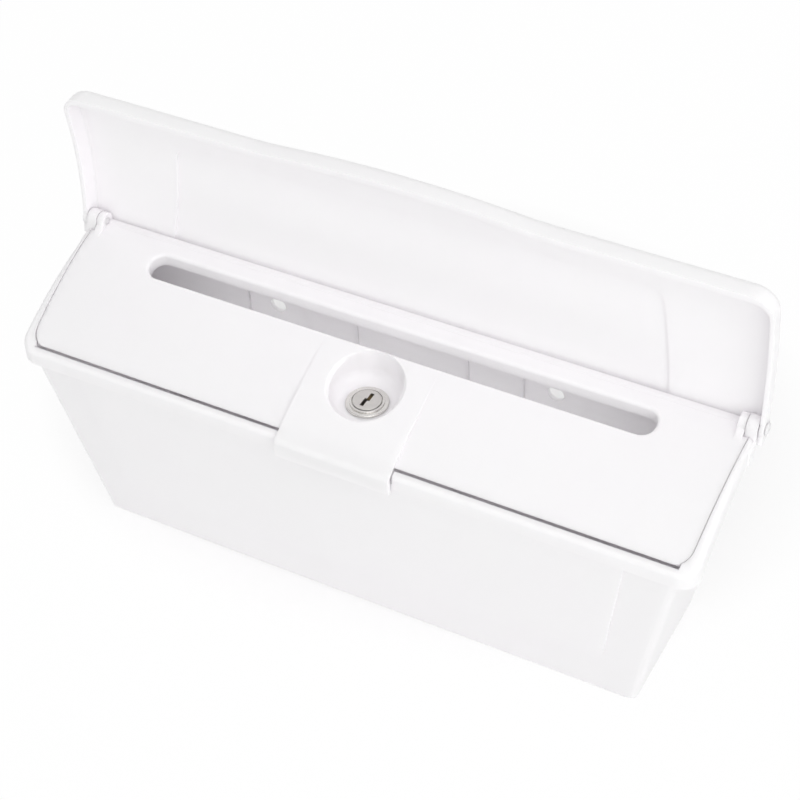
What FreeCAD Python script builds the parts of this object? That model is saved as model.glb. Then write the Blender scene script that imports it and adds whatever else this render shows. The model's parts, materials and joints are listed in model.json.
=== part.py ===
import FreeCAD, Part
import math
import os
import re
import Sketcher

# Lockable wall box of white moulded plastic: a tapered bin, a crowned inner lid with a posting slot
# and a cam lock, and a crowned outer lid that stands open.
# +X is the long side, the front faces -Y, +Z is up, and the origin is the middle of the base.

DRIVING = {
    # Bin: tapered tub
    "base_width": 325.4,
    "base_depth": 75.0,
    "front_height": 112.0,
    "shoulder_width": 371.8,
    "front_lean": 11.4,
    "wall": 2.5,
    "floor_wall": 3.0,
    "back_height": 140.0,
    "corner_round": 4.5,
    "foot_round": 2.5,
    # Crowned plate of the inner lid, measured along the groove inside the rim
    "groove_width": 382.4,
    "groove_taper": 2.4,
    "plate_back_y": 24.5,
    "plate_back_z": 150.0,
    "plate_run": 70.7,
    "plate_drop": 27.7,
    "crown": 3.16,
    "plate_wall": 2.4,
    "groove_gap": 0.35,
    "seat_gap": 0.3,
    "plate_tail": 8.3,
    "plate_undercut": 1.6,
    "plate_corner": 9.0,
    # Rim band of the bin
    "rim_band": 4.5,
    "rim_side": 2.5,
    "rim_flare": 1.3,
    "rim_height": 10.5,
    "rim_lip": 0.3,
    "rim_corner": 10.0,
    "rim_round": 3.4,
    # Raised panel on the front wall
    "panel_top_width": 318.0,
    "panel_foot_width": 289.0,
    "panel_foot_z": 27.0,
    "panel_proud": 1.0,
    "panel_corner": 12.0,
    # Hinge
    "pin_setback": 8.5,
    "pin_z": 152.5,
    "pin_radius": 1.75,
    "pin_fit": 0.03,
    "pin_run_fit": 0.08,
    "pin_head_radius": 3.4,
    "pin_head": 1.2,
    "pin_head_gap": 0.15,
    "lug_radius": 5.2,
    "lug_width": 6.0,
    "lug_inset": 2.5,
    "lug_foot_z": 138.0,
    "lug_bar": 7.0,
    "lug_heel": 6.6,
    "lug_front_gap": 6.5,
    "ear_width": 4.0,
    "ear_gap": 0.3,
    "ear_radius": 4.8,
    "ear_foot": 13.0,
    # Keyholes and their pads in the back wall
    "keyhole_spacing": 165.6,
    "keyhole_z": 123.0,
    "keyhole_radius": 4.6,
    "keyhole_neck": 4.4,
    "keyhole_rise": 9.0,
    "pad_width": 38.0,
    "pad_foot_z": 96.0,
    "pad_proud": 1.6,
    "rib_spacing": 66.0,
    "rib_width": 1.6,
    "rib_height": 1.0,
    # Catch for the cam
    "catch_width": 28.0,
    "catch_reach": 8.4,
    "catch_height": 5.4,
    "catch_gap": 0.6,
    # Posting slot
    "slot_length": 294.0,
    "slot_width": 14.4,
    "slot_back_gap": 3.2,
    "slot_flange": 7.0,
    "slot_wall": 2.2,
    "slot_round": 1.9,
    # Tongue over the rim
    "tongue_width": 66.0,
    "tongue_rise": 1.8,
    "tongue_back_gap": 20.0,
    "tongue_wall": 2.2,
    "tongue_gap": 0.6,
    "tongue_drop": 2.0,
    "tongue_round": 4.0,
    "notch_gap": 0.5,
    "notch_depth": 3.4,
    # Dish
    "lock_y": -13.6,
    "dish_radius": 19.4,
    "dish_wall": 2.2,
    "dish_floor_z": 126.0,
    "dish_floor": 3.0,
    "dish_bowl": 7.0,
    "dish_flare": 2.0,
    # Outer lid, in its own frame: shut and level, with the hinge pins at the origin
    "lid_side_gap": 0.45,
    "lid_skirt": 2.4,
    "lid_length": 83.3,
    "lid_lip": 4.4,
    "lid_wall": 2.0,
    "lid_rise": 13.4,
    "lid_back_rise": 9.5,
    "skin_radius": 193.0,
    "lid_edge": 2.6,
    "lid_lip_gap": 0.4,
    "lid_heel": 7.0,
    "lid_corner": 13.0,
    "lid_round": 6.0,
    "lid_inside_round": 1.0,
    "lid_lean": 4.5,
    "bow_half": 86.0,
    "bow_rise": 4.6,
    "bow_ease": 200.0,
    "emboss": 1.2,
    "emboss_foot_width": 294.0,
    "emboss_top_width": 276.0,
    "emboss_top": 59.0,
    "emboss_corner": 9.0,
    # Cam lock
    "bezel_radius": 11.4,
    "bezel_height": 1.3,
    "collar_radius": 9.2,
    "collar_height": 0.8,
    "barrel_radius": 9.2,
    "barrel_length": 22.0,
    "barrel_flats": 16.0,
    "barrel_gap": 0.15,
    "plug_head_radius": 7.7,
    "plug_head": 2.2,
    "plug_rise": 0.4,
    "plug_radius": 6.2,
    "plug_gap": 0.1,
    "plug_head_gap": 0.4,
    "tail_square": 6.5,
    "tail_length": 2.8,
    "tail_gap": 0.1,
    "keyway_width": 2.0,
    "keyway_length": 5.8,
    "keyway_jog": 0.6,
    "keyway_depth": 16.0,
    "wafer_thick": 1.0,
    "wafer_pitch": 2.4,
    "wafer_start": 3.6,
    "wafer_width": 5.6,
    "wafer_length": 10.8,
    "wafer_window_width": 3.7,
    "wafer_window_length": 7.6,
    "wafer_gap": 0.1,
    "wafer_tab": 2.0,
    "spring_radius": 0.5,
    "spring_length": 2.8,
    "washer_radius": 12.6,
    "washer_thick": 0.8,
    "nut_flats": 24.0,
    "nut_thick": 4.0,
    "stop_radius": 8.4,
    "stop_thick": 0.9,
    "cam_thick": 2.0,
    "cam_width": 13.0,
    "cam_length": 27.5,
    "cam_washer_radius": 5.2,
    "cam_washer_thick": 0.7,
    "screw_radius": 1.95,
    "screw_length": 9.0,
    "screw_head_radius": 3.9,
    "screw_head": 2.4,
    "screw_slot": 1.0,
}

WAFER_COUNT = 5

# Places that follow from the driving sizes
DERIVED = {
    "back_y": "base_depth / 2",
    "front_y": "-base_depth / 2",
    "pin_y": "back_y - pin_setback",
    "plate_front_y": "plate_back_y - plate_run",
    "plate_front_z": "plate_back_z - plate_drop",
    "crown_chord": "sqrt(plate_run^2 + plate_drop^2)",
    "crown_radius": "crown_chord^2 / (8 * crown) + crown / 2",
    "crown_sink": "(crown_radius - crown) / crown_chord",
    "crown_y": "(plate_back_y + plate_front_y) / 2 + crown_sink * plate_drop",
    "crown_z": "(plate_back_z + plate_front_z) / 2 - crown_sink * plate_run",
    "groove_slope": "groove_taper / plate_run",
    "rim_half": "groove_width / 2 + rim_side",
    "rim_slope": "-rim_flare / plate_run",
    "rim_front_y": "plate_front_y - rim_band",
    "rim_back_y": "pin_y - lug_front_gap",
    "recess_half": "(groove_width + groove_gap) / 2",
    "recess_front_y": "plate_front_y - groove_gap / 2",
    "plate_half": "(groove_width - groove_gap) / 2",
    "plate_edge_y": "plate_front_y + groove_gap / 2",
    "plate_tail_y": "plate_back_y + plate_tail",
    "side_slope": "(shoulder_width - base_width) / 2 / front_height",
    "front_slope": "front_lean / front_height",
    "slot_back_y": "plate_back_y - slot_back_gap",
    "slot_mid_y": "slot_back_y - slot_width / 2",
    "tongue_front_y": "rim_front_y - tongue_gap - tongue_wall",
    "tongue_back_y": "plate_back_y - tongue_back_gap",
    "tongue_slope": "tongue_rise / (tongue_back_y - tongue_front_y)",
    "rim_foot_z": "plate_front_z - rim_height",
    "tongue_foot_z": "rim_foot_z - tongue_drop",
    "lug_inside": "groove_width / 2 - lug_inset",
    "ear_outside": "lug_inside - ear_gap",
    "lug_outside": "lug_inside + lug_width",
    "lid_half": "lug_outside + lid_side_gap + lid_skirt",
    "lid_tip": "tongue_rise + lid_lip_gap",
    "lid_mid": "((pin_y - crown_y) * plate_run + (pin_z - crown_z) * plate_drop) / crown_chord",
    "lid_low": "((pin_y - crown_y) * plate_drop - (pin_z - crown_z) * plate_run) / crown_chord",
    "skin_back_z": "lid_low + sqrt((crown_radius + lid_back_rise)^2 - lid_mid^2)",
    "skin_front_z": "lid_low + sqrt((crown_radius + lid_rise)^2 - (lid_mid - lid_length)^2)",
    "skin_fall": "skin_back_z - skin_front_z",
    "skin_chord": "sqrt(lid_length^2 + skin_fall^2)",
    "skin_sink": "sqrt(skin_radius^2 - skin_chord^2 / 4)",
    "skin_y": "-lid_length / 2 + skin_fall * skin_sink / skin_chord",
    "skin_z": "(skin_back_z + skin_front_z) / 2 - lid_length * skin_sink / skin_chord",
    "bow_sum": "(bow_half^2 + bow_rise^2) / (2 * bow_rise)",
    "bow_radius": "bow_sum - bow_ease",
    "bow_join_x": "bow_half * bow_radius / bow_sum",
    "bow_join": "bow_rise - bow_radius + (bow_sum - bow_rise) * bow_radius / bow_sum",
    "dish_rise": "tongue_slope * (tongue_back_y - lock_y)",
    "dish_tilt": "asin((crown_y - lock_y) / crown_radius)",
    "collar_top_z": "dish_floor_z + bezel_height + collar_height",
    "plug_top_z": "collar_top_z + plug_rise",
    "plug_shoulder_z": "plug_top_z - plug_head",
    "barrel_foot_z": "dish_floor_z - barrel_length",
    "stop_top_z": "barrel_foot_z - tail_gap",
    "cam_top_z": "stop_top_z - stop_thick",
    "cam_foot_z": "cam_top_z - cam_thick",
    "catch_foot_z": "cam_top_z + catch_gap",
    "tail_foot_z": "barrel_foot_z - tail_length",
    "washer_foot_z": "dish_floor_z - dish_floor - washer_thick",
    "wafer_top_z": "plug_top_z - wafer_start",
    "panel_slope": "(panel_top_width - panel_foot_width) / 2 / (rim_foot_z + wall - panel_foot_z)",
}

doc = FreeCAD.newDocument("wall_box")
sizes = doc.addObject("Spreadsheet::Sheet", "Sizes")
ALIASES = set(DRIVING) | set(DERIVED)


def fill_sheet():
    """Write the driving sizes as numbers and the places that follow from them as formulas."""
    row = 1
    for alias, value in DRIVING.items():
        sizes.set("A%d" % row, alias)
        sizes.set("B%d" % row, str(value))
        sizes.setAlias("B%d" % row, alias)
        row += 1
    doc.recompute()
    for alias, formula in DERIVED.items():
        sizes.set("A%d" % row, alias)
        sizes.set("B%d" % row, "=" + formula)
        sizes.setAlias("B%d" % row, alias)
        doc.recompute()
        row += 1


def sheet_terms(text):
    """Name the sheet in front of every alias of a formula."""
    def named(match):
        word = match.group(0)
        return "Sizes." + word if word in ALIASES else word
    return re.sub(r"[A-Za-z_]\w*", named, str(text))


def value(text):
    """The number that a formula of the sheet gives."""
    return float(sizes.evalExpression(sheet_terms(text)))


def bind(thing, **settings):
    """Bind properties to formulas; a double underscore stands for a dot in the property's path."""
    for name, text in settings.items():
        thing.setExpression(name.replace("__", "."), sheet_terms(text))
    return thing


def crown_at(offset, y):
    """Height at depth y of the plate's crown, moved out by an offset."""
    return "crown_z + sqrt((crown_radius + (%s))^2 - ((%s) - crown_y)^2)" % (offset, y)


def lid_at(offset, y):
    """Height at depth y of the shut outer lid's crown in its own frame, moved out by an offset."""
    return "lid_low + sqrt((crown_radius + (%s))^2 - ((%s) + lid_mid)^2)" % (offset, y)


def skin_at(offset, y):
    """Height at depth y of the shut outer lid's skin in its own frame, moved out by an offset."""
    return "skin_z + sqrt((skin_radius + (%s))^2 - ((%s) - skin_y)^2)" % (offset, y)


# Each arched surface: its height and its radius
PLATE = (crown_at, "crown_radius")
SKIN = (skin_at, "skin_radius")

# Drawing helpers

PLANES = {
    "side": FreeCAD.Rotation(FreeCAD.Vector(1, 1, 1), 120),
    "front": FreeCAD.Rotation(FreeCAD.Vector(1, 0, 0), 90),
    "plan": FreeCAD.Rotation(),
}


def sketch(name, plane, outline):
    """A closed outline of corners (u, v), or (u, v, radius, side) where an arc runs to the next corner.

    An arc's side is +1 where it swells to the right of the way along the outline and -1 to the left.
    """
    drawing = doc.addObject("Sketcher::SketchObject", name)
    drawing.Placement = FreeCAD.Placement(FreeCAD.Vector(), PLANES[plane])
    corners = [FreeCAD.Vector(value(c[0]), value(c[1]), 0) for c in outline]
    ends = []
    for index, corner in enumerate(outline):
        start = corners[index]
        stop = corners[(index + 1) % len(corners)]
        if len(corner) == 2:
            drawing.addGeometry(Part.LineSegment(start, stop), False)
            ends.append((1, 2))
            continue
        radius, side = value(corner[2]), corner[3]
        along = stop - start
        right = FreeCAD.Vector(along.y, -along.x, 0).normalize()
        rise = radius - math.sqrt(radius ** 2 - (along.Length / 2) ** 2)
        middle = (start + stop) * 0.5 + right * (side * rise)
        drawing.addGeometry(Part.Arc(start, middle, stop), False)
        ends.append((1, 2) if side > 0 else (2, 1))
    for index, corner in enumerate(outline):
        follower = (index + 1) % len(outline)
        join = Sketcher.Constraint("Coincident", index, ends[index][1], follower, ends[follower][0])
        drawing.addConstraint(join)
        for kind, text in (("DistanceX", corner[0]), ("DistanceY", corner[1])):
            place = Sketcher.Constraint(kind, -1, 1, index, ends[index][0], value(text))
            number = drawing.addConstraint(place)
            drawing.setExpression("Constraints[%d]" % number, sheet_terms(text))
        if len(corner) > 2:
            number = drawing.addConstraint(Sketcher.Constraint("Radius", index, value(corner[2])))
            drawing.setExpression("Constraints[%d]" % number, sheet_terms(corner[2]))
    return drawing


def extrude(name, plane, outline, length, start=None):
    """A sketch pulled out both ways from its plane, or one way along its normal from a start."""
    solid = doc.addObject("Part::Extrusion", name)
    solid.Base = sketch(name + "_outline", plane, outline)
    solid.DirMode = "Normal"
    solid.Solid = True
    solid.Symmetric = start is None
    bind(solid, LengthFwd=length)
    if start is not None:
        axis = {"side": "x", "front": "y", "plan": "z"}[plane]
        solid.setExpression("Placement.Base." + axis, sheet_terms(start))
    return solid


def box(name, length, width, height, x="0", y="0", z="0"):
    """A box of given sizes, with its middle in x and y, and its foot at z."""
    solid = doc.addObject("Part::Box", name)
    bind(solid, Length=length, Width=width, Height=height)
    bind(solid, Placement__Base__x="(%s) - (%s) / 2" % (x, length))
    bind(solid, Placement__Base__y="(%s) - (%s) / 2" % (y, width))
    return bind(solid, Placement__Base__z=z)


def cylinder(name, radius, height, x="0", y="0", z="0", along="z"):
    """A cylinder that starts at a place and runs along +Z, +X or +Y."""
    solid = doc.addObject("Part::Cylinder", name)
    turns = {"z": FreeCAD.Rotation(), "x": FreeCAD.Rotation(FreeCAD.Vector(0, 1, 0), 90),
             "y": FreeCAD.Rotation(FreeCAD.Vector(1, 0, 0), -90)}
    solid.Placement = FreeCAD.Placement(FreeCAD.Vector(), turns[along])
    bind(solid, Radius=radius, Height=height)
    return bind(solid, Placement__Base__x=x, Placement__Base__y=y, Placement__Base__z=z)


def fuse(name, *solids):
    joined = doc.addObject("Part::MultiFuse", name)
    joined.Shapes = list(solids)
    joined.Refine = True
    return joined


def common(name, *solids):
    shared = doc.addObject("Part::MultiCommon", name)
    shared.Shapes = list(solids)
    return shared


def cut(name, solid, *tools):
    """A solid less its tools, taken away one after another."""
    for index, tool in enumerate(tools):
        last = index == len(tools) - 1
        result = doc.addObject("Part::Cut", name if last else "%s_step_%d" % (name, index + 1))
        result.Base = solid
        result.Tool = tool
        solid = result
    return solid


def fillet(name, solid, radius, wanted):
    """Round the edges of a solid for which wanted(edge) is true."""
    doc.recompute()
    rounded = doc.addObject("Part::Fillet", name)
    rounded.Base = solid
    size = value(radius)
    rounded.Edges = [(n, size, size) for n, edge in enumerate(solid.Shape.Edges, 1) if wanted(edge)]
    return rounded


def middle(edge):
    """The point halfway along an edge."""
    return edge.valueAt((edge.FirstParameter + edge.LastParameter) / 2)


def copy_mirrored(name, solid):
    """The mirror image of a solid in the plane x = 0."""
    image = doc.addObject("Part::Mirroring", name)
    image.Source = solid
    image.Normal = FreeCAD.Vector(1, 0, 0)
    return image


NODES = {}


def node(name, solid):
    """Give a finished sub-part the label that names its file."""
    solid.Label = name
    NODES[name] = solid


def band(name, surface, top, foot, back_y, front_y, width, undercut="0"):
    """A band of an arched surface between two offsets, from a back to a front depth."""
    height_at, radius = surface
    foot_y = "(%s) + (%s)" % (front_y, undercut)
    outline = [
        (back_y, height_at(top, back_y), "%s + (%s)" % (radius, top), 1),
        (front_y, height_at(top, front_y)),
        (foot_y, height_at(foot, foot_y), "%s + (%s)" % (radius, foot), -1),
        (back_y, height_at(foot, back_y)),
    ]
    return extrude(name, "side", outline, width)


def under_crown(name, offset, back_y, front_y, foot_z, width):
    """A block with a flat foot and the plate's crown, moved out by an offset, for its top."""
    outline = [
        (back_y, crown_at(offset, back_y), "crown_radius + (%s)" % offset, 1),
        (front_y, crown_at(offset, front_y)),
        (front_y, foot_z),
        (back_y, foot_z),
    ]
    return extrude(name, "side", outline, width)


def crown_edges(height_at, offset, back_y):
    """A test for the edges that lie on a crown in front of a depth."""
    back = value(back_y)

    def wanted(edge):
        first, last = edge.FirstParameter, edge.LastParameter
        spots = [edge.valueAt(first + (last - first) * part) for part in (0.25, 0.5, 0.75)]
        return spots[1].y < back - 0.05 and all(
            abs(spot.z - value(height_at(offset, "(%.9f)" % spot.y))) < 0.01 for spot in spots)
    return wanted


def half_at(half, slope, y):
    """Half width at depth y of an outline that narrows towards the front by a slope."""
    return "(%s) - (%s) * (plate_back_y - (%s))" % (half, slope, y)


def rounded_plan(name, half, slope, front, back, corner, height):
    """A block seen from above with its two front corners rounded, standing on z = 0.

    Its half width is given at the back of the plate.
    """
    lean = "sqrt(1 + (%s)^2)" % slope
    hub_y = "(%s) + (%s)" % (front, corner)
    hub_x = "%s - (%s) * %s" % (half_at(half, slope, hub_y), corner, lean)
    touch_x = "%s + (%s) / %s" % (hub_x, corner, lean)
    touch_y = "%s - (%s) * (%s) / %s" % (hub_y, corner, slope, lean)
    back_x = half_at(half, slope, back)
    outline = [
        ("-(%s)" % back_x, back),
        ("-(%s)" % touch_x, touch_y, corner, 1),
        ("-(%s)" % hub_x, front),
        (hub_x, front, corner, 1),
        (touch_x, touch_y),
        (back_x, back),
    ]
    return extrude(name, "plan", outline, height, start="0")


def stadium_plan(name, length, width, y, height):
    """A long slot shape seen from above, with round ends, standing on z = 0."""
    run = "(%s) / 2 - (%s) / 2" % (length, width)
    front = "(%s) - (%s) / 2" % (y, width)
    back = "(%s) + (%s) / 2" % (y, width)
    right_end = "(%s) / 2" % length
    radius = "(%s) / 2" % width
    outline = [
        ("-(%s)" % run, front),
        (run, front, radius, 1),
        (right_end, y, radius, 1),
        (run, back),
        ("-(%s)" % run, back, radius, 1),
        ("-(%s)" % right_end, y, radius, 1),
    ]
    return extrude(name, "plan", outline, height, start="0")


def lock_disc(name, radius, height, foot):
    """A cylinder on the axis of the lock."""
    return cylinder(name, radius, height, "0", "lock_y", foot)


def lock_block(name, length, width, height, foot):
    """A box on the axis of the lock."""
    return box(name, length, width, height, "0", "lock_y", foot)


# A height above everything that the plate and the rim are cut from
TOP = "plate_back_z + lid_length"


# Bin

def front_face(z, out="0"):
    """Depth of the leaning front wall at a height, moved out by an amount."""
    return "front_y - (%s) * front_slope - (%s)" % (z, out)


def side_face(z, out="0"):
    """Half width of the tapered bin at a height, moved out by an amount."""
    return "base_width / 2 + (%s) * side_slope + (%s)" % (z, out)


def tub(name, inset, foot, top):
    """A tapered block: the side view and the front view of the bin, inset by a wall."""
    out = "-(%s)" % inset
    side = extrude(name + "_side", "side", [
        (front_face(foot, out), foot),
        ("back_y - (%s)" % inset, foot),
        ("back_y - (%s)" % inset, top),
        (front_face(top, out), top),
    ], "2 * groove_width")
    front = extrude(name + "_front", "front", [
        ("-(%s)" % side_face(foot, out), foot),
        (side_face(foot, out), foot),
        (side_face(top, out), top),
        ("-(%s)" % side_face(top, out), top),
    ], "4 * base_depth")
    return common(name, side, front)


def make_bin():
    block = tub("bin_block", "0", "0", TOP)
    upright = fillet("bin_corners", block, "corner_round",
                     lambda e: abs(e.tangentAt(e.FirstParameter).z) > 0.9 and middle(e).y < 0)
    foot = fillet("bin_foot", upright, "foot_round", lambda e: e.BoundBox.ZMax < 0.01)
    below = under_crown("below_plate", "-plate_wall - seat_gap", "2 * back_y", "2 * front_y", "-wall",
                        "2 * groove_width")
    low_back = box("low_back", "2 * groove_width", "2 * (pin_setback + lug_heel)", "plate_back_z", "0",
                   "back_y", "back_height")
    shell = cut("bin_shell", common("bin_trimmed", foot, below), low_back)

    arc = band("rim_arc", PLATE, "rim_lip", "-rim_height", "rim_back_y", "rim_front_y - rim_band",
               "3 * rim_half")
    plan = rounded_plan("rim_plan", "rim_half", "rim_slope", "rim_front_y", "2 * back_y", "rim_corner", TOP)
    foot_level = box("rim_foot_level", "2 * groove_width", "4 * base_depth", "plate_back_z", "0", "0",
                     "rim_foot_z")
    ring = common("rim_ring", arc, plan, foot_level)
    soft_ring = fillet("rim_soft", ring, "rim_round", crown_edges(crown_at, "rim_lip", "rim_back_y"))

    panel_view = extrude("panel_view", "front", [
        ("-panel_foot_width / 2 + panel_corner", "panel_foot_z"),
        ("panel_foot_width / 2 - panel_corner", "panel_foot_z", "panel_corner", 1),
        ("panel_foot_width / 2 + panel_corner * panel_slope", "panel_foot_z + panel_corner"),
        ("panel_top_width / 2", "rim_foot_z + wall"),
        ("-panel_top_width / 2", "rim_foot_z + wall"),
        ("-panel_foot_width / 2 - panel_corner * panel_slope", "panel_foot_z + panel_corner", "panel_corner",
         1),
    ], "4 * base_depth")
    panel_skin = extrude("panel_skin", "side", [
        (front_face("0", "panel_proud"), "0"),
        (front_face("0", "-wall / 2"), "0"),
        (front_face("rim_foot_z + wall", "-wall / 2"), "rim_foot_z + wall"),
        (front_face("rim_foot_z + wall", "panel_proud"), "rim_foot_z + wall"),
    ], "2 * groove_width")
    panel = common("front_panel", panel_view, panel_skin)

    pads = [box("pad_%d" % side, "pad_width", "pad_proud + wall / 2", "back_height - pad_foot_z",
                "%d * keyhole_spacing / 2" % side, "back_y + (pad_proud - wall / 2) / 2", "pad_foot_z")
            for side in (-1, 1)]
    # The lug's arm stays in front of the pin, so the outer lid's heel can swing past behind it.
    # It leaves the round of the lug at a point that lies 3 along and 4 down for every 5 of the radius.
    lug = extrude("lug_right", "side", [
        ("pin_y + lug_radius", "pin_z", "lug_radius", 1),
        ("pin_y", "pin_z + lug_radius", "lug_radius", 1),
        ("pin_y - lug_radius", "pin_z"),
        ("rim_back_y", "pin_z - lug_radius"),
        ("rim_back_y - lug_bar", "lug_foot_z + lug_bar"),
        ("rim_back_y - lug_bar", "lug_foot_z"),
        ("pin_y - lug_heel", "lug_foot_z"),
        ("pin_y - lug_heel", "pin_z - 2 * lug_radius"),
        ("pin_y - 0.6 * lug_radius", "pin_z - 0.8 * lug_radius", "lug_radius", 1),
    ], "lug_width", start="lug_inside")
    lug_left = copy_mirrored("lug_left", lug)

    cavity = tub("cavity", "wall", "floor_wall", TOP)
    recess_arc = band("recess_arc", PLATE, "lid_length", "-plate_wall - seat_gap", "2 * back_y",
                      "2 * front_y", "2 * groove_width")
    recess_plan = rounded_plan("recess_plan", "recess_half", "groove_slope", "recess_front_y",
                               "rim_back_y - groove_gap / 2", "plate_corner", TOP)
    recess = common("plate_recess", recess_arc, recess_plan)
    notch_arc = band("notch_arc", PLATE, "lid_length", "-notch_depth", "pin_y", "rim_front_y - rim_band",
                     "tongue_width + 2 * notch_gap")
    notch_front = box("notch_front", "groove_width", "4 * rim_band", "2 * plate_back_z", "0", "rim_front_y",
                      "0")
    notch = common("tongue_notch", notch_arc, notch_front)
    whole = fuse("bin_whole", shell, soft_ring, panel, *pads)
    hollow = cut("bin_hollow", whole, cavity)

    rest = front_face("catch_foot_z", "-wall / 2")
    catch = extrude("catch", "side", [
        (rest, "catch_foot_z"),
        ("(%s) + catch_reach + wall / 2" % rest, "catch_foot_z"),
        ("(%s) + catch_reach + wall / 2" % rest, "catch_foot_z + catch_height / 2"),
        (rest, "catch_foot_z + catch_height"),
    ], "catch_width")
    ribs = [box("rib_%d" % side, "rib_width", "rib_height + wall / 2", "back_height - pad_foot_z",
                "%d * rib_spacing / 2" % side, "back_y - wall - rib_height / 2 + wall / 4", "pad_foot_z")
            for side in (-1, 1)]
    dressed = fuse("bin_dressed", hollow, lug, lug_left, catch, *ribs)

    tools = [recess, notch]
    for side in (-1, 1):
        x = "%d * keyhole_spacing / 2" % side
        inside = "back_y - 2 * wall"
        top = "keyhole_z + keyhole_rise"
        tools.append(box("pad_hollow_%d" % side, "pad_width - wall", "2 * pad_proud",
                         "back_height - pad_foot_z + wall", x, "back_y - wall", "pad_foot_z + wall / 2"))
        tools.append(cylinder("keyhole_%d" % side, "keyhole_radius", "4 * wall", x, inside, "keyhole_z", "y"))
        tools.append(box("neck_%d" % side, "keyhole_neck", "4 * wall", "keyhole_rise", x, "back_y",
                         "keyhole_z"))
        tools.append(cylinder("neck_end_%d" % side, "keyhole_neck / 2", "4 * wall", x, inside, top, "y"))
    tools.append(cylinder("lug_bores", "pin_radius + pin_fit", "4 * lid_half", "-2 * lid_half", "pin_y",
                          "pin_z", "x"))
    node("bin", cut("bin_body", dressed, *tools))


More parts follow.
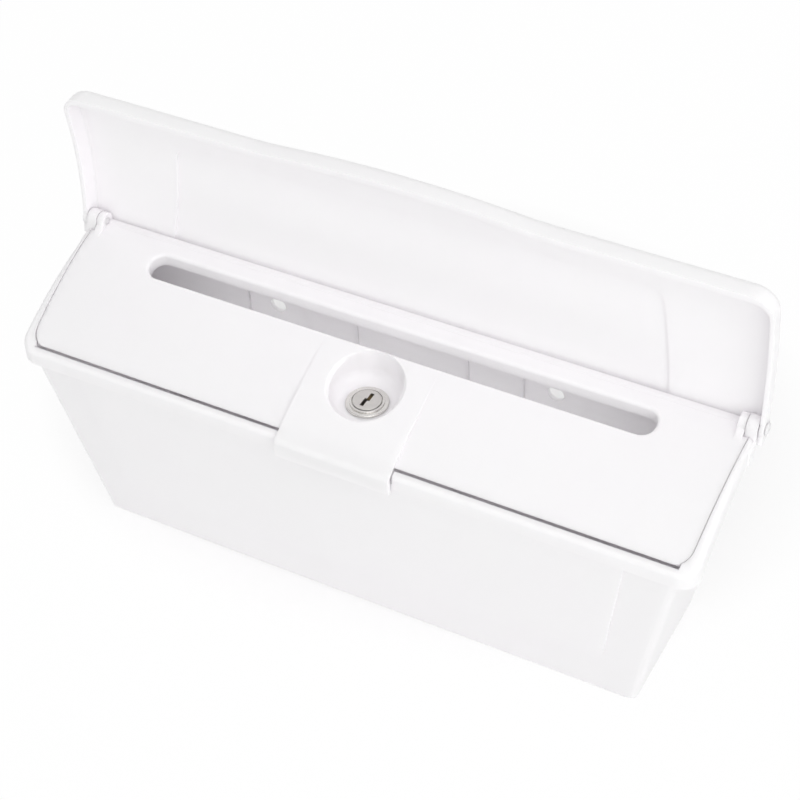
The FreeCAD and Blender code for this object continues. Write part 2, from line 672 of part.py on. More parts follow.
def make_inner_lid():
    arc = band("plate_arc", PLATE, "0", "-plate_wall", "plate_tail_y", "plate_edge_y", "2 * groove_width",
               "plate_undercut")
    plan = rounded_plan("plate_plan", "plate_half", "groove_slope", "plate_edge_y", "2 * back_y",
                        "plate_corner", TOP)
    flange_arc = band("flange_arc", PLATE, "-plate_wall / 2", "-slot_flange", "plate_tail_y", "lock_y",
                      "2 * groove_width")
    flange_plan = stadium_plan("flange_plan", "slot_length + 2 * slot_wall", "slot_width + 2 * slot_wall",
                               "slot_mid_y", TOP)
    flange = common("slot_flange_ring", flange_arc, flange_plan)
    plate = fuse("plate_flanged", common("plate_blank", arc, plan), flange)
    slot = stadium_plan("slot_plan", "slot_length", "slot_width", "slot_mid_y", TOP)
    slotted = cut("plate_slotted", plate, slot)
    crown_edge = crown_edges(crown_at, "0", "slot_back_y + slot_wall")
    front = value("slot_back_y - slot_width - slot_wall")
    reach = value("slot_length / 2 + slot_wall")
    soft = fillet("plate_soft", slotted, "slot_round",
                  lambda e: crown_edge(e) and middle(e).y > front and abs(middle(e).x) < reach)

    # The tongue rises out of the plate as a wedge, from the slot to the rim.
    inside = "tongue_front_y + tongue_wall"
    under = "tongue_rise - tongue_wall"
    strap = extrude("tongue_strap", "side", [
        ("tongue_back_y", crown_at("0", "tongue_back_y"), "crown_radius", 1),
        ("tongue_front_y", crown_at("tongue_rise", "tongue_front_y")),
        ("tongue_front_y", "tongue_foot_z"),
        (inside, "tongue_foot_z"),
        (inside, crown_at(under, inside), "crown_radius + (%s)" % under, -1),
        ("tongue_back_y", crown_at(under, "tongue_back_y")),
    ], "tongue_width")
    nose = value("tongue_front_y")
    knee = value("tongue_foot_z + tongue_round")
    tongue = fillet("tongue", strap, "tongue_round",
                    lambda e: abs(middle(e).y - nose) < 0.01 and middle(e).z > knee and abs(middle(e).x) < 1)

    cup = lock_disc("cup", "dish_radius + dish_wall", "2 * dish_radius", "dish_floor_z - dish_floor")
    soft_cup = fillet("cup_soft", cup, "dish_bowl", lambda e: e.BoundBox.ZMax < value("dish_floor_z"))
    cup_top = under_crown("cup_top", "-plate_wall / 2", "plate_tail_y", "2 * front_y", "0", "groove_width")
    cup_body = cut("cup_body", common("cup_trimmed", soft_cup, cup_top), slot)
    bowl = lock_disc("bowl", "dish_radius", "2 * dish_radius", "dish_floor_z")
    soft_bowl = fillet("bowl_soft", bowl, "dish_bowl",
                       lambda e: e.BoundBox.ZMax < value("dish_floor_z + wall"))
    # The flare opens square to the sloping top of the tongue, so it softens the sides of the mouth.
    flare = doc.addObject("Part::Cone", "dish_mouth")
    tilt = FreeCAD.Rotation(FreeCAD.Vector(1, 0, 0), value("dish_tilt"))
    flare.Placement = FreeCAD.Placement(FreeCAD.Vector(), tilt)
    bind(flare, Radius1="dish_radius", Radius2="dish_radius + 2 * dish_flare", Height="2 * dish_flare")
    bind(flare, Placement__Rotation__Angle="dish_tilt")
    bind(flare, Placement__Base__y="lock_y + dish_flare * sin(dish_tilt)")
    bind(flare, Placement__Base__z="%s - dish_flare * cos(dish_tilt)" % crown_at("dish_rise", "lock_y"))
    hole_foot = "dish_floor_z - 1.5 * dish_floor"
    floor_bore = lock_disc("floor_bore", "barrel_radius + barrel_gap", "2 * dish_floor", hole_foot)
    floor_flats = lock_block("floor_flats", "barrel_flats + 2 * barrel_gap", "4 * barrel_radius",
                             "2 * dish_floor", hole_foot)
    hole = common("floor_hole", floor_bore, floor_flats)

    ear = extrude("ear_right", "side", [
        ("pin_y + ear_radius", "pin_z", "ear_radius", 1),
        ("pin_y", "pin_z + ear_radius", "ear_radius", 1),
        ("pin_y - ear_radius", "pin_z"),
        ("pin_y - ear_foot", crown_at("-plate_wall / 2", "pin_y - ear_foot")),
        ("pin_y + ear_radius", crown_at("-plate_wall", "pin_y + ear_radius")),
    ], "ear_width", start="ear_outside - ear_width")
    ear_left = copy_mirrored("ear_left", ear)
    corner_cuts = [box("ear_clear_%d" % side, "groove_width / 2 - ear_outside + rim_band", "plate_run",
                       "plate_back_z", "%d * (groove_width / 2 + ear_outside + rim_band) / 2" % side,
                       "rim_back_y - groove_gap + plate_run / 2", "plate_back_z / 2") for side in (-1, 1)]
    bores = cylinder("ear_bores", "pin_radius + pin_run_fit", "2 * rim_half", "-rim_half", "pin_y", "pin_z",
                     "x")
    trimmed = cut("plate_trimmed", soft, *corner_cuts)
    whole = fuse("inner_lid_whole", trimmed, tongue, cup_body, ear, ear_left)
    node("inner_lid", cut("inner_lid_body", whole, soft_bowl, flare, hole, bores))


# Outer lid

def lid_plan(name, side_inset, front_inset, back):
    """The outer lid from above: rounded front corners and a front edge bowed out in the middle."""
    half = "(lid_half - (%s))" % side_inset
    front = "-(lid_length - (%s))" % front_inset
    corner = "(lid_corner - (%s))" % front_inset
    return extrude(name, "plan", [
        ("-" + half, back),
        ("-" + half, "%s + %s" % (front, corner), corner, 1),
        ("-%s + %s" % (half, corner), front),
        ("-bow_half", front, "bow_ease", -1),
        ("-bow_join_x", "%s - bow_join" % front, "bow_radius", 1),
        ("bow_join_x", "%s - bow_join" % front, "bow_ease", -1),
        ("bow_half", front),
        ("%s - %s" % (half, corner), front, corner, 1),
        (half, "%s + %s" % (front, corner)),
        (half, back),
    ], "4 * lid_length")


def emboss_plan(name, inset, back):
    """The embossed panel from above: narrower towards the lid's front edge, with rounded corners."""
    foot = "(emboss_foot_width / 2 - (%s))" % inset
    top = "(emboss_top_width / 2 - (%s))" % inset
    front = "-(emboss_top - (%s))" % inset
    lean = "((emboss_foot_width - emboss_top_width) / 2 / emboss_top * emboss_corner)"
    return extrude(name, "plan", [
        ("-" + foot, back),
        ("-%s - %s" % (top, lean), "%s + emboss_corner" % front, "emboss_corner", 1),
        ("-%s + emboss_corner" % top, front),
        ("%s - emboss_corner" % top, front, "emboss_corner", 1),
        ("%s + %s" % (top, lean), "%s + emboss_corner" % front),
        (foot, back),
    ], "4 * lid_length")


def make_outer_lid():
    far = "-lid_length - 2 * bow_rise"
    back = "2 * lid_heel"
    wide = "4 * lid_half"
    # The skirt's free edge runs from below the plate's crown at the hinge to above the tongue at the lip.
    foot_radius = "crown_radius - lid_edge"
    slab = extrude("lid_slab", "side", [
        (back, skin_at("0", back), "skin_radius", 1),
        (far, skin_at("0", far)),
        (far, lid_at("lid_tip", far), foot_radius, -1),
        ("lid_heel", lid_at("-lid_edge", "lid_heel")),
        (back, lid_at("-lid_edge", "lid_heel")),
    ], wide)
    blank = common("lid_blank", lid_plan("lid_outline", "0", "0", "lid_heel"), slab)
    soft = fillet("lid_soft", blank, "lid_round", crown_edges(skin_at, "0", "lid_heel"))
    inside = common("lid_inside", lid_plan("lid_inside_outline", "lid_skirt", "lid_lip", "3 * lid_heel"),
                    band("lid_inside_slab", SKIN, "-lid_wall", "-3 * lid_rise", back, far, wide))
    soft_inside = fillet("lid_inside_soft", inside, "lid_inside_round",
                         crown_edges(skin_at, "-lid_wall", back))
    raised = common("lid_panel", emboss_plan("panel_outline", "0", "lid_heel"),
                    band("panel_slab", SKIN, "emboss", "-lid_wall / 2", back, far, wide))
    sunk = common("lid_panel_back", emboss_plan("panel_back_outline", "lid_wall / 2", back),
                  band("panel_back_slab", SKIN, "emboss - lid_wall", "-lid_rise", back, far, wide))
    shell = cut("lid_shell", fuse("lid_raised", soft, raised), soft_inside, sunk)
    ears = [cylinder("lid_ear_%d" % side, "ear_radius", "lid_skirt",
                     "%d * (lid_half - lid_skirt / 2) - lid_skirt / 2" % side, "0", "0", "x")
            for side in (-1, 1)]
    bores = cylinder("lid_bores", "pin_radius + pin_run_fit", "4 * lid_half", "-2 * lid_half", "0", "0", "x")
    lid = cut("outer_lid_body", fuse("lid_whole", shell, *ears), bores)
    swing = FreeCAD.Rotation(FreeCAD.Vector(1, 0, 0), value("lid_lean - 90"))
    lid.Placement = FreeCAD.Placement(FreeCAD.Vector(), swing)
    bind(lid, Placement__Base__y="pin_y", Placement__Base__z="pin_z")
    bind(lid, Placement__Rotation__Angle="lid_lean - 90")
    node("outer_lid", lid)


# Hinge pins: a plain pin with a domed head outside each ear of the outer lid

def make_pins():
    start = "ear_outside - ear_width"
    stop = "lid_half + pin_head_gap"
    length = "(%s) - (%s) + pin_head / 2" % (stop, start)
    shank = cylinder("pin_shank", "pin_radius", length, start, "pin_y", "pin_z", "x")
    head = cylinder("pin_head_disc", "pin_head_radius", "pin_head", stop, "pin_y", "pin_z", "x")
    end = value("%s + pin_head" % stop)
    dome = fillet("pin_dome", head, "0.7 * pin_head", lambda e: e.BoundBox.XMin > end - 0.01)
    right = fuse("pin_right", shank, dome)
    node("hinge_pin_right", right)
    node("hinge_pin_left", copy_mirrored("pin_left", right))


# Cam lock

def make_housing():
    bezel = lock_disc("bezel", "bezel_radius", "bezel_height", "dish_floor_z")
    soft_bezel = fillet("bezel_soft", bezel, "bezel_height / 2",
                        lambda e: e.BoundBox.ZMin > value("dish_floor_z + bezel_height / 2"))
    collar = lock_disc("collar", "collar_radius", "bezel_height + collar_height", "dish_floor_z")
    soft_collar = fillet("collar_soft", collar, "collar_height / 2",
                         lambda e: e.BoundBox.ZMin > value("dish_floor_z + bezel_height"))
    rod = lock_disc("barrel_round", "barrel_radius", "barrel_length + bezel_height / 2", "barrel_foot_z")
    flats = lock_block("barrel_block", "barrel_flats", "4 * barrel_radius", "2 * barrel_length",
                       "barrel_foot_z")
    barrel = common("barrel", rod, flats)
    head_bore = lock_disc("head_bore", "plug_head_radius + plug_head_gap", "2 * plug_head",
                          "plug_shoulder_z - plug_gap")
    bore = lock_disc("plug_bore", "plug_radius + plug_gap", "3 * barrel_length",
                     "barrel_foot_z - barrel_length")
    solid = fuse("housing_solid", soft_bezel, soft_collar, barrel)
    node("lock_housing", cut("housing_body", solid, head_bore, bore))


def make_wafer(n):
    """One wafer, its spring, and the slots that they need in the plug."""
    foot = "wafer_top_z - %d * wafer_pitch - wafer_thick" % (n - 1)
    middle_z = "(%s) + wafer_thick / 2" % foot
    slot_foot = "(%s) - wafer_gap" % foot
    slot_height = "wafer_thick + 2 * wafer_gap"
    side_x = "wafer_width / 2 + wafer_tab / 2"
    plate = lock_block("wafer_plate_%d" % n, "wafer_width", "wafer_length", "wafer_thick", foot)
    tab = box("wafer_tab_%d" % n, "wafer_tab", "wafer_tab / 2", "wafer_thick", side_x + " - wafer_gap",
              "lock_y", foot)
    window = lock_block("wafer_window_%d" % n, "wafer_window_width", "wafer_window_length", "3 * wafer_thick",
                        "(%s) - wafer_thick" % foot)
    node("wafer_%d" % n, cut("wafer_body_%d" % n, fuse("wafer_solid_%d" % n, plate, tab), window))
    spring_y = "lock_y - wafer_tab / 4 - wafer_gap - spring_length"
    spring = cylinder("spring_%d" % n, "spring_radius", "spring_length", side_x, spring_y, middle_z, "y")
    node("wafer_spring_%d" % n, spring)
    slot = lock_block("wafer_slot_%d" % n, "wafer_width + 2 * wafer_gap", "4 * plug_radius", slot_height,
                      slot_foot)
    pocket_length = "spring_length + wafer_tab / 2 + 3 * wafer_gap"
    pocket = box("spring_pocket_%d" % n, "wafer_tab + wafer_gap", pocket_length, slot_height, side_x,
                 "lock_y - (spring_length + wafer_gap) / 2", slot_foot)
    return [slot, pocket]


def make_plug():
    head = lock_disc("plug_head_disc", "plug_head_radius", "plug_head", "plug_shoulder_z")
    soft_head = fillet("plug_head_soft", head, "plug_rise",
                       lambda e: e.BoundBox.ZMin > value("plug_top_z - plug_rise"))
    shaft = lock_disc("plug_shaft", "plug_radius", "plug_shoulder_z - barrel_foot_z + plug_head / 2",
                      "barrel_foot_z")
    tail = lock_block("plug_tail", "tail_square", "tail_square", "tail_length + wall", "tail_foot_z")
    tools = []
    for side in (-1, 1):
        y = "lock_y + %d * (keyway_length / 2 - keyway_jog)" % side
        tools.append(box("keyway_%d" % side, "keyway_width", "keyway_length", "2 * keyway_depth",
                         "%d * keyway_jog" % side, y, "plug_top_z - keyway_depth"))
    for n in range(1, WAFER_COUNT + 1):
        tools.extend(make_wafer(n))
    tools.append(lock_disc("screw_thread", "screw_radius + plug_gap / 2", "screw_length + tail_length",
                           "tail_foot_z - tail_length"))
    node("lock_plug", cut("plug_body", fuse("plug_solid", soft_head, shaft, tail), *tools))


def make_clamp():
    """The washer and nut that hold the housing to the floor of the dish."""
    washer = lock_disc("washer_disc", "washer_radius", "washer_thick", "washer_foot_z")
    washer_bore = lock_disc("washer_bore", "barrel_radius + barrel_gap", "3 * washer_thick",
                            "washer_foot_z - washer_thick")
    node("lock_washer", cut("washer_body", washer, washer_bore))
    hexagon = doc.addObject("Part::Prism", "nut_hexagon")
    hexagon.Polygon = 6
    bind(hexagon, Circumradius="nut_flats / sqrt(3)", Height="nut_thick", Placement__Base__y="lock_y",
         Placement__Base__z="washer_foot_z - nut_thick")
    nut_bore = lock_disc("nut_bore", "barrel_radius + pin_fit", "3 * nut_thick",
                         "washer_foot_z - 2 * nut_thick")
    node("lock_nut", cut("nut_body", hexagon, nut_bore))


def make_cam():
    """The cam with its washers and screw, which turn with the plug."""
    hole_side = "tail_square + 2 * tail_gap"
    square = lock_block("tail_hole", hole_side, hole_side, "barrel_length", "cam_foot_z - cam_thick")
    stop = lock_disc("stop_disc", "stop_radius", "stop_thick", "cam_top_z")
    node("stop_washer", cut("stop_body", stop, square))

    hub = lock_disc("cam_hub", "stop_radius", "cam_thick", "cam_foot_z")
    arm = box("cam_arm", "cam_length - cam_width / 2", "cam_width", "cam_thick",
              "cam_length / 2 - cam_width / 4", "lock_y", "cam_foot_z")
    tip = cylinder("cam_tip", "cam_width / 2", "cam_thick", "cam_length - cam_width / 2", "lock_y",
                   "cam_foot_z")
    node("cam", cut("cam_body", fuse("cam_solid", hub, arm, tip), square))

    ring_foot = "cam_foot_z - cam_washer_thick"
    ring = lock_disc("cam_ring", "cam_washer_radius", "cam_washer_thick", ring_foot)
    ring_bore = lock_disc("cam_ring_bore", "screw_radius + tail_gap", "3 * cam_washer_thick",
                          ring_foot + " - cam_washer_thick")
    node("cam_washer", cut("cam_washer_body", ring, ring_bore))

    shank = lock_disc("screw_shank", "screw_radius", "screw_length", ring_foot)
    pan = lock_disc("screw_pan", "screw_head_radius", "screw_head", ring_foot + " - screw_head")
    soft_pan = fillet("screw_pan_soft", pan, "screw_head / 2",
                      lambda e: e.BoundBox.ZMax < value(ring_foot + " - screw_head / 2"))
    cross_foot = ring_foot + " - 1.5 * screw_head"
    cross = [
        lock_block("screw_cross_x", "screw_head_radius", "screw_slot", "screw_head", cross_foot),
        lock_block("screw_cross_y", "screw_slot", "screw_head_radius", "screw_head", cross_foot),
    ]
    node("cam_screw", cut("screw_body", fuse("screw_solid", shank, soft_pan), *cross))


fill_sheet()
make_bin()
make_inner_lid()
make_outer_lid()
make_pins()
make_housing()
make_plug()
make_clamp()
make_cam()
doc.recompute()


def check_and_export():
    """Stop on any failed object, then write one file for each sub-part."""
    for thing in doc.Objects:
        if "Invalid" in thing.State or "Error" in thing.State:
            raise RuntimeError("%s failed: %s" % (thing.Name, thing.State))
    os.makedirs("parts", exist_ok=True)
    for name, thing in NODES.items():
        shape = thing.Shape
        if shape.isNull() or not shape.isValid():
            raise RuntimeError("%s has no valid shape" % name)
        shape.exportStep("parts/%s.step" % name)
        print(name, len(shape.Solids), "solid(s)", round(shape.Volume / 1000, 2), "cm3")


check_and_export()
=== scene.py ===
# %% [markdown]
# # A white wall box for letters and donations
# The box is three plastic mouldings, a bin and two lids that share one hinge line, and a small cam lock.
# The CAD model already has every shape at its real size, so this lesson is about finish: soft moulded edges,
# white plastic with a fine grain, nickel on the lock, and the light and camera of the photograph.

# %% Load the frame
import json
import math

import bmesh
import bpy
from mathutils import Matrix, Vector


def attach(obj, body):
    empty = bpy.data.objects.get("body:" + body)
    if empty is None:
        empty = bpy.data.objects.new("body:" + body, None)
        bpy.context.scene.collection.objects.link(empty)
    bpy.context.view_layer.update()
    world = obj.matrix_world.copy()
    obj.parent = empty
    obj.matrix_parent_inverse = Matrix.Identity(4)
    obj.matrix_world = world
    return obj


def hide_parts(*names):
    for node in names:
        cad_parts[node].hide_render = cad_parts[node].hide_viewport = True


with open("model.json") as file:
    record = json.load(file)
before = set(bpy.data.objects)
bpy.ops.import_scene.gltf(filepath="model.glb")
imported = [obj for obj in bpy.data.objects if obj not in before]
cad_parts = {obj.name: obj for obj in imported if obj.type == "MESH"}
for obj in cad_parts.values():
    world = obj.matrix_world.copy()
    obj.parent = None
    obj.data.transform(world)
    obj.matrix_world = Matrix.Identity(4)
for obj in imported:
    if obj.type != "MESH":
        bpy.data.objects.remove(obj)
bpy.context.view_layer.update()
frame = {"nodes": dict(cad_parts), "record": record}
MM = 0.001

# %% [markdown]
# Shader maths reads best as plain sums. This small class wraps a socket of a node tree, so that an expression
# such as `1 - mask * 0.2` adds the Math nodes by itself. Linking the nodes one by one would give the same tree,
# but the sum would be hard to see in it.

# %% A socket that does sums


class Wire:
    """A node socket that can be added, subtracted and multiplied in an expression."""

    def __init__(self, tree, socket):
        self.tree = tree
        self.socket = socket

    def sum(self, operation, first, second):
        return add_node(self.tree, "ShaderNodeMath", {"operation": operation}, i0=first, i1=second)

    def __add__(self, other):
        return self.sum("ADD", self, other)

    def __radd__(self, other):
        return self.sum("ADD", other, self)

    def __sub__(self, other):
        return self.sum("SUBTRACT", self, other)

    def __rsub__(self, other):
        return self.sum("SUBTRACT", other, self)

    def __mul__(self, other):
        return self.sum("MULTIPLY", self, other)

    def __rmul__(self, other):
        return self.sum("MULTIPLY", other, self)


print("sums on sockets: add, subtract, multiply")

# %% [markdown]
# Every node comes from one helper, which first sets the node's own settings and then its sockets. A socket is
# named with underscores for spaces, or by its number, such as `i0`, where several sockets share a name.

# %% One helper for all nodes


def plug(tree, socket, value):
    """Link a wire to a socket, or set the socket's own value."""
    if isinstance(value, Wire):
        tree.links.new(value.socket, socket)
    else:
        socket.default_value = value


def add_node(tree, kind, settings=None, output=0, **inputs):
    """One node with its settings and sockets, as the wire of one of its outputs."""
    made = tree.nodes.new(kind)
    for name, value in (settings or {}).items():
        setattr(made, name, value)
    for name, value in inputs.items():
        key = int(name[1:]) if name[0] == "i" and name[1:].isdigit() else name.replace("_", " ")
        plug(tree, made.inputs[key], value)
    return Wire(tree, made.outputs[output])


def blend(tree, factor, first, second):
    """A colour between two colours."""
    return add_node(tree, "ShaderNodeMix", {"data_type": "RGBA"}, output=2, i0=factor, i6=first, i7=second)


def new_material(name):
    """A plain material: itself, its tree, its Principled shader and its place in space."""
    made = bpy.data.materials.new(name)
    made.use_nodes = True
    tree = made.node_tree
    place = add_node(tree, "ShaderNodeTexCoord", output=3)
    return made, tree, tree.nodes["Principled BSDF"], place


print("node helpers: plug, add_node, blend, new_material")

# %% [markdown]
# ## White moulded plastic
# The mouldings are satin white. Real ones are never perfectly even: the colour drifts a little where the melt
# cooled, a fine grain from the mould breaks up the gloss, and handling leaves faint duller patches. Three noises
# of different sizes give these. Light also goes a little way into the plastic, so it gets a short glow.

# %% The white plastic
PLASTIC_WHITE = (0.955, 0.922, 0.955, 1)
PLASTIC_SHADE = (0.935, 0.900, 0.935, 1)
DRIFT_SCALE = 14.0
PATCH_SCALE = 38.0
GRAIN_SCALE = 2600.0
PLASTIC_ROUGH = 0.30
PATCH_ROUGH = 0.14
GRAIN_ROUGH = 0.05
GRAIN_HEIGHT = 0.05 * MM
PLASTIC_SHINE = 0.45
GLOW = 1.0
GLOW_REACH = 2.5 * MM


def make_plastic(name, grain_depth):
    """Satin white plastic with a drift in its colour, a mould grain and duller handled patches."""
    made, tree, shader, place = new_material(name)
    drift = add_node(tree, "ShaderNodeTexNoise", Vector=place, Scale=DRIFT_SCALE, Detail=3.0, Roughness=0.6)
    plug(tree, shader.inputs["Base Color"], blend(tree, drift, PLASTIC_WHITE, PLASTIC_SHADE))
    patches = add_node(tree, "ShaderNodeTexNoise", Vector=place, Scale=PATCH_SCALE, Detail=4.0, Roughness=0.55)
    grain = add_node(tree, "ShaderNodeTexNoise", Vector=place, Scale=GRAIN_SCALE, Detail=2.0, Roughness=0.6)
    plug(tree, shader.inputs["Roughness"], PLASTIC_ROUGH + patches * PATCH_ROUGH + grain * GRAIN_ROUGH)
    bump = add_node(tree, "ShaderNodeBump", Strength=grain_depth, Distance=GRAIN_HEIGHT, Height=grain)
    plug(tree, shader.inputs["Normal"], bump)
    shader.inputs["Specular IOR Level"].default_value = PLASTIC_SHINE
    shader.inputs["Subsurface Weight"].default_value = GLOW
    shader.inputs["Subsurface Radius"].default_value = (1.0, 1.0, 1.0)
    shader.inputs["Subsurface Scale"].default_value = GLOW_REACH
    return made


shell_plastic = make_plastic("white_moulded_plastic", 0.12)
pin_plastic = make_plastic("white_pin_plastic", 0.06)
print("plastics:", shell_plastic.name, pin_plastic.name)

# %% [markdown]
# ## Metals of the lock
# The housing is bright nickel over zinc, the plug is the same metal with a satin turned face, and the hidden
# washers, nut and cam are zinc plated steel. Brass wafers sit in the plug. All four are one recipe: two tints that
# wear mixes, and a noise that is stretched into the streaks of turning or stamping.

# %% The metals
NICKEL = ((0.80, 0.785, 0.76, 1), (0.66, 0.645, 0.62, 1))
SATIN = ((0.70, 0.685, 0.66, 1), (0.60, 0.585, 0.56, 1))
STEEL = ((0.58, 0.59, 0.60, 1), (0.46, 0.46, 0.45, 1))
BRASS = ((0.70, 0.53, 0.25, 1), (0.55, 0.40, 0.18, 1))
WEAR_SCALE = 420.0
WEAR_ROUGH = 0.08
STREAK_ROUGH = 0.16
STREAK_DEPTH = 0.08
STREAK_HEIGHT = 0.03 * MM


def make_metal(name, colour, worn, rough, streak_scale):
    """Plated metal: a slightly uneven tint, streaks from turning or stamping, and fine wear."""
    made, tree, shader, place = new_material(name)
    wear = add_node(tree, "ShaderNodeTexNoise", Vector=place, Scale=WEAR_SCALE, Detail=5.0, Roughness=0.65)
    plug(tree, shader.inputs["Base Color"], blend(tree, wear, colour, worn))
    stretched = add_node(tree, "ShaderNodeMapping", Vector=place, Scale=streak_scale)
    streaks = add_node(tree, "ShaderNodeTexNoise", Vector=stretched, Scale=1.0, Detail=3.0, Roughness=0.6)
    plug(tree, shader.inputs["Roughness"], rough + streaks * STREAK_ROUGH + wear * WEAR_ROUGH)
    bump = add_node(tree, "ShaderNodeBump", Strength=STREAK_DEPTH, Distance=STREAK_HEIGHT, Height=streaks)
    plug(tree, shader.inputs["Normal"], bump)
    shader.inputs["Metallic"].default_value = 1.0
    return made


bright_nickel = make_metal("bright_nickel", *NICKEL, 0.10, (900, 900, 4000))
satin_nickel = make_metal("satin_nickel", *SATIN, 0.22, (300, 5000, 900))
plated_steel = make_metal("zinc_plated_steel", *STEEL, 0.25, (2500, 2500, 300))
wafer_brass = make_metal("stamped_brass", *BRASS, 0.26, (400, 3000, 3000))
print("metals:", bright_nickel.name, satin_nickel.name, plated_steel.name, wafer_brass.name)

# %% [markdown]
# ## Soft edges
# A mould has no knife edges, and neither has what comes out of it. Each CAD node's mesh is copied, its loose
# triangles are merged, flat stretches become single faces, and every hard edge gets a small round. A Bevel
# modifier could round the edges too, but the operator works on just the edges that are picked here.

# %% Round the edges of a copy
WELD = 0.002 * MM
FLAT_ANGLE = math.radians(0.5)
HARD_ANGLE = math.radians(35)
CREASE_ANGLE = math.radians(38)


def bends(edge, angle):
    """Whether the two faces at an edge turn by more than an angle."""
    return len(edge.link_faces) == 2 and edge.calc_face_angle() > angle


def soft_mesh(node, edge_round):
    """The mesh of a CAD node, copied and merged, with its hard edges rounded."""
    mesh = bmesh.new()
    mesh.from_mesh(frame["nodes"][node].data)
    bmesh.ops.remove_doubles(mesh, verts=mesh.verts, dist=WELD)
    bmesh.ops.dissolve_limit(mesh, angle_limit=FLAT_ANGLE, verts=mesh.verts, edges=mesh.edges)
    hard = [edge for edge in mesh.edges if bends(edge, HARD_ANGLE)]
    if edge_round:
        bmesh.ops.bevel(mesh, geom=hard, offset=edge_round, offset_type="OFFSET", segments=2, profile=0.5,
                        affect="EDGES", clamp_overlap=True, material=-1)
    for face in mesh.faces:
        face.smooth = True
    for edge in mesh.edges:
        edge.smooth = not bends(edge, CREASE_ANGLE)
    data = bpy.data.meshes.new(node + "_soft")
    mesh.to_mesh(data)
    mesh.free()
    return data


print("edges that turn more than", round(math.degrees(HARD_ANGLE)), "degrees get a round")

# %% [markdown]
# ## The mouldings and their pins
# The copy stands for its CAD node, which stays in the frame for collision, and it rides on the same body. So a lid
# that swings in the simulation takes its dressed copy along.

# %% The mouldings
MOULDED_ROUND = 0.35 * MM
BODY_OF = {}
for body_name, node_names in frame["record"]["behaviour"]["bodies"].items():
    for node_name in node_names:
        BODY_OF[node_name] = body_name


def soft_copy(node, edge_round, material, body):
    """A dressed copy of a CAD node that rides where the node rides."""
    data = soft_mesh(node, edge_round)
    piece = bpy.data.objects.new(node + "_soft", data)
    bpy.context.scene.collection.objects.link(piece)
    data.materials.append(material)
    weighted = piece.modifiers.new("even_shading", "WEIGHTED_NORMAL")
    weighted.keep_sharp = True
    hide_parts(node)
    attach(piece, body)
    print(piece.name, len(data.polygons), "faces")


for node_name in ("bin", "inner_lid", "outer_lid"):
    soft_copy(node_name, MOULDED_ROUND, shell_plastic, BODY_OF[node_name])
for node_name in ("hinge_pin_left", "hinge_pin_right"):
    soft_copy(node_name, 0, pin_plastic, BODY_OF[node_name])

# %% [markdown]
# ## The lock
# The lock is the only metal that shows. Its edges are turned, so they get a much smaller round than the
# mouldings, just enough to catch a line of light. The wafers are thin stampings with a smaller round still.

# %% Lock pieces
TURNED_ROUND = 0.12 * MM
PLUG_ROUND = 0.08 * MM
STAMPED_ROUND = 0.05 * MM
soft_copy("lock_housing", TURNED_ROUND, bright_nickel, BODY_OF["lock_housing"])
soft_copy("lock_plug", PLUG_ROUND, satin_nickel, BODY_OF["lock_plug"])
for node_name in ("lock_nut", "lock_washer", "stop_washer", "cam", "cam_washer", "cam_screw"):
    soft_copy(node_name, TURNED_ROUND, plated_steel, BODY_OF[node_name])
for node_name in frame["nodes"]:
    if node_name.startswith("wafer_spring"):
        soft_copy(node_name, 0, plated_steel, BODY_OF[node_name])
    elif node_name.startswith("wafer"):
        soft_copy(node_name, STAMPED_ROUND, wafer_brass, BODY_OF[node_name])

# %% [markdown]
# ## Floor
# The box stands on a plain white floor. The camera sees most of it as white paper, through a Mix Shader that asks
# the Light Path node what kind of ray has come. Behind the box the mix is left off, so that the floor's real shade
# meets the back of the box, and shows through the keyholes. A round gradient, stretched to an oval, marks that
# place.

# %% The floor
FLOOR_WHITE = (0.96, 0.96, 0.96, 1)
PAPER_WHITE = (1, 1, 1, 1)
FLOOR_HALF = 6.0
FLOOR_FADE = 0.97
SHADE_PLACE = Vector((-0.04, 0.12, 0))
SHADE_REACH = Vector((0.25, 0.20, 1.0))
SHADE_GAIN = 2.0

floor_mesh = bmesh.new()
bmesh.ops.create_grid(floor_mesh, x_segments=1, y_segments=1, size=FLOOR_HALF)
floor_data = bpy.data.meshes.new("floor")
floor_mesh.to_mesh(floor_data)
floor_mesh.free()
floor = bpy.data.objects.new("floor", floor_data)
bpy.context.scene.collection.objects.link(floor)
floor_paint, floor_tree, floor_shader, floor_place = new_material("white_sweep")
floor_data.materials.append(floor_paint)
floor_shader.inputs["Base Color"].default_value = FLOOR_WHITE
floor_shader.inputs["Roughness"].default_value = 0.9
floor_shader.inputs["Specular IOR Level"].default_value = 0.0
print("floor", 2 * FLOOR_HALF, "m across")

# %% [markdown]
# The paper is a plain white emission. Only what the camera or a mirror-like surface sees is swapped for it: every
# other ray meets the painted floor, so the light that the floor throws up at the box stays true.

# %% White paper for the camera
from_shade = add_node(floor_tree, "ShaderNodeVectorMath", {"operation": "SUBTRACT"}, i0=floor_place, i1=SHADE_PLACE)
oval = add_node(floor_tree, "ShaderNodeVectorMath", {"operation": "DIVIDE"}, i0=from_shade, i1=SHADE_REACH)
nearness = add_node(floor_tree, "ShaderNodeTexGradient", {"gradient_type": "SPHERICAL"}, output=1, Vector=oval)
clamped = {"operation": "MULTIPLY", "use_clamp": True}
shade = add_node(floor_tree, "ShaderNodeMath", clamped, i0=nearness, i1=SHADE_GAIN)
by_camera = add_node(floor_tree, "ShaderNodeLightPath", output="Is Camera Ray")
by_mirror = add_node(floor_tree, "ShaderNodeLightPath", output="Is Glossy Ray")
seen = by_camera + by_mirror
paper = add_node(floor_tree, "ShaderNodeEmission", Color=PAPER_WHITE, Strength=1.0)
lit = Wire(floor_tree, floor_shader.outputs[0])
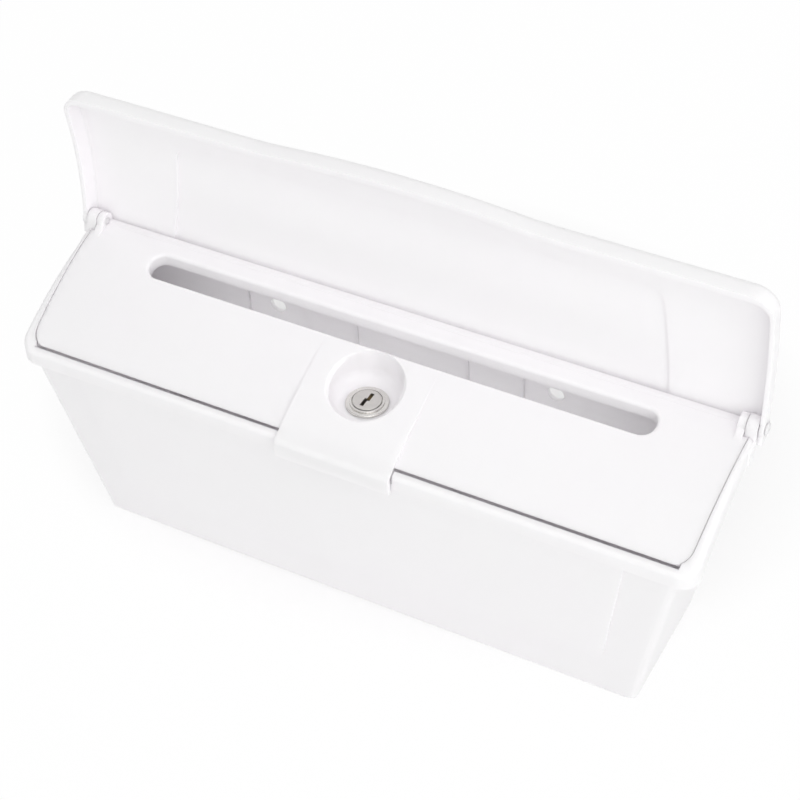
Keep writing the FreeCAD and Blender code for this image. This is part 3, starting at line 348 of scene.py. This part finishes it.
faded = add_node(floor_tree, "ShaderNodeMixShader", i0=seen * (1 - shade) * FLOOR_FADE, i1=lit, i2=paper)
plug(floor_tree, floor_tree.nodes["Material Output"].inputs["Surface"], faded)
print("floor nodes:", len(floor_tree.nodes))

# %% [markdown]
# ## Light
# White plastic clips to plain white easily, so every lamp is weak. A large soft lamp to the right does most of the
# work, and weaker ones above and on the left keep the shaded sides from going grey. Thin white plastic lets light
# through, but the short glow of the material carries too little of it into the bin. One very weak lamp inside,
# with a narrow spread, lights the back wall instead.

# %% The lamps
MIDDLE = (0, 0, 0.12)
BACK_WALL = (0, 0.038, 0.11)


def soft_lamp(name, place, target, size, power, spread=math.pi):
    """A rectangular lamp of a width and a height that faces a point, with an angle that its light fills."""
    data = bpy.data.lights.new(name, "AREA")
    data.shape = "RECTANGLE"
    data.size, data.size_y = size
    data.energy = power
    data.spread = spread
    lamp = bpy.data.objects.new(name, data)
    lamp.location = place
    lamp.rotation_euler = (Vector(target) - Vector(place)).to_track_quat("-Z", "Y").to_euler()
    lamp.visible_camera = False
    bpy.context.scene.collection.objects.link(lamp)
    print("lamp", name, power, "W")


soft_lamp("key_right", (1.5, -1.15, 1.1), MIDDLE, (2.0, 2.0), 17)
soft_lamp("top", (0.2, -0.4, 1.9), MIDDLE, (1.4, 1.4), 5.5)
soft_lamp("fill_left", (-1.4, -1.2, 1.0), MIDDLE, (1.4, 1.4), 1)
soft_lamp("inner_glow", (0, -0.02, 0.06), BACK_WALL, (0.28, 0.03), 0.022, math.radians(90))

# %% [markdown]
# The world is an even white that stands for the light that a pale room sends back from all sides. An image of a
# room would also give reflections, but the plastic is too dull to show them.

# %% The world
WORLD_WHITE = (1, 1, 1, 1)
WORLD_LIGHT = 0.66
world = bpy.data.worlds.new("studio")
bpy.context.scene.world = world
world.use_nodes = True
background = world.node_tree.nodes["Background"]
background.inputs["Color"].default_value = WORLD_WHITE
background.inputs["Strength"].default_value = WORLD_LIGHT
print("world strength", WORLD_LIGHT)

# %% [markdown]
# ## Camera
# The camera was worked out from the box's own edges in the photograph: it looks down at about forty degrees
# from the right of the front, through a long lens, and is rolled a little. Its turn is built from two directions,
# right and up, because these are what the fit gives.

# %% The camera
CAMERA_PLACE = Vector((0.41418, -0.68239, 0.85912))
CAMERA_RIGHT = Vector((0.88090, 0.47114, -0.04511))
CAMERA_UP = Vector((-0.29264, 0.61710, 0.73045))
CAMERA_LENS = 94.6
SENSOR_WIDTH = 36

camera_data = bpy.data.cameras.new("photo_camera")
camera_data.lens = CAMERA_LENS
camera_data.sensor_width = SENSOR_WIDTH
camera = bpy.data.objects.new("photo_camera", camera_data)
right = CAMERA_RIGHT.normalized()
back = right.cross(CAMERA_UP).normalized()
up = back.cross(right)
turn = Matrix((right, up, back)).transposed().to_4x4()
camera.matrix_world = Matrix.Translation(CAMERA_PLACE) @ turn
bpy.context.scene.collection.objects.link(camera)
bpy.context.scene.camera = camera
bpy.context.scene.view_settings.view_transform = "Standard"
print("camera distance", round(CAMERA_PLACE.length, 3), "m")
